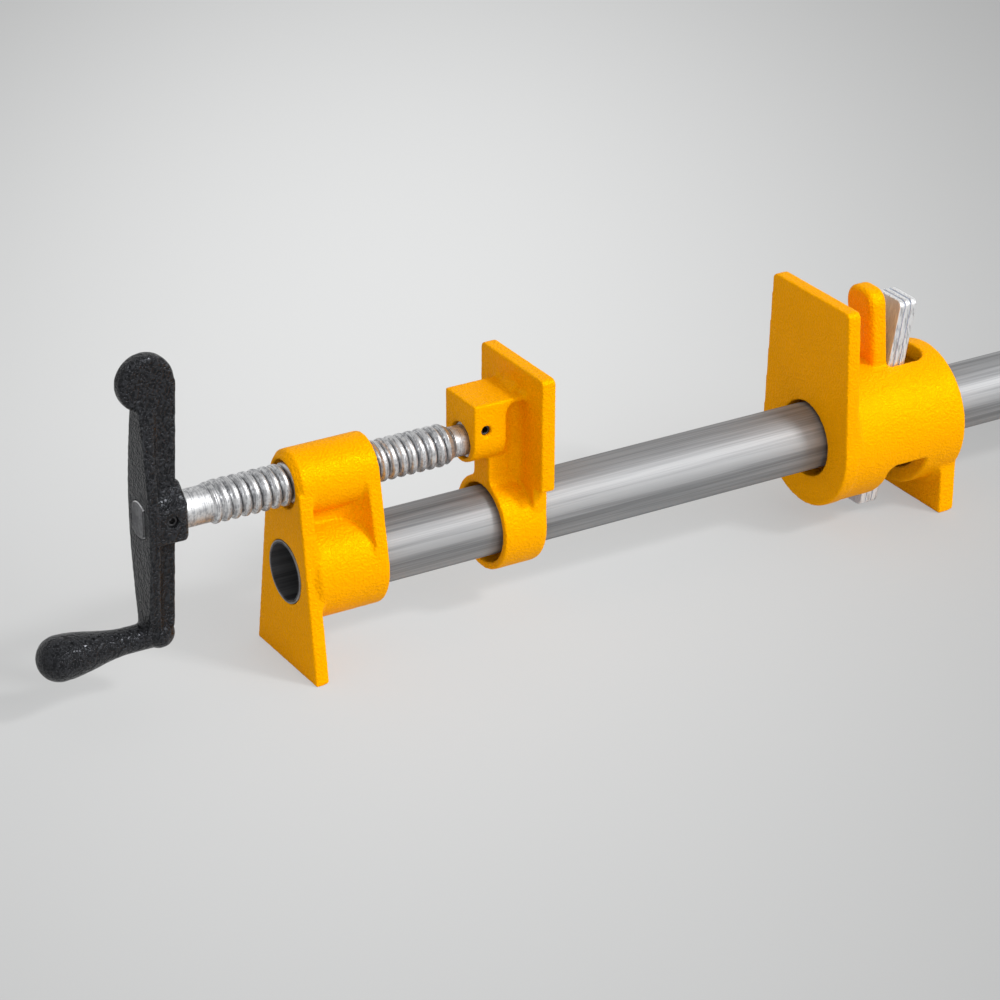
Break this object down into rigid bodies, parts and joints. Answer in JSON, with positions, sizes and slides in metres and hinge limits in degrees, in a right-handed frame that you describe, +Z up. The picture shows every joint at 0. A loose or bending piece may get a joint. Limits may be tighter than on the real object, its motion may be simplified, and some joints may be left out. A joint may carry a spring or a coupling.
{
  "type": "woodworking pipe clamp",
  "caption": "Cast clamp head with a cranked screw and sliding jaw at one end of a steel pipe, and a sliding tail stop held on the pipe by a spring-loaded plate clutch.",
  "frame": {"origin": "centre of the head foot's sole", "axes": "+X along the pipe from the head to the tail stop, +Z up, +Y to the far side in the picture"},
  "size_m": [0.5987, 0.0568, 0.1356],
  "materials": {
    "yellow_coat": "yellow powder coat over the cast skin",
    "black_coat": "black powder coat",
    "pipe_steel": "drawn pipe with long streaks",
    "zinc_plate": "bright zinc plate",
    "clutch_zinc": "bright plate",
    "pin_steel": "plain steel",
    "spring_steel": "spring wire"
  },
  "bodies": {
    "base": {"head_casting": "yellow_coat", "pipe": "pipe_steel"},
    "jaw": {"sliding_jaw": "yellow_coat", "jaw_pin": "pin_steel"},
    "screw": {"spindle": "zinc_plate", "crank": "black_coat", "crank_pin": "pin_steel"},
    "tail": {"tail_casting": "yellow_coat", "clutch_spring": "spring_steel"},
    "clutch": {"clutch_plate_1": "clutch_zinc", "clutch_plate_2": "clutch_zinc", "clutch_plate_3": "clutch_zinc"}
  },
  "joints": [
    {"name": "jaw_slide", "type": "slide", "parent": "base", "child": "jaw", "axis": [1, 0, 0], "range_m": [-0.04, 0.03]},
    {"name": "screw_turn", "type": "hinge", "parent": "jaw", "child": "screw", "pos_m": [0, 0, 0.0727], "axis": [1, 0, 0], "range_deg": [-3605, 2705]},
    {"name": "tail_slide", "type": "slide", "parent": "base", "child": "tail", "axis": [1, 0, 0], "range_m": [-0.098, 0.205]},
    {"name": "clutch_tilt", "type": "hinge", "parent": "tail", "child": "clutch", "pos_m": [0.26195, 0, 0.0642], "axis": [0, 1, 0], "range_deg": [-6, 0], "stiffness_Nm_per_rad": 4, "springref_deg": 2.86}
  ],
  "couplings": [
    {"joint": "screw_turn", "follows": "jaw_slide", "rad_per_m": 1570.8}
  ]
}
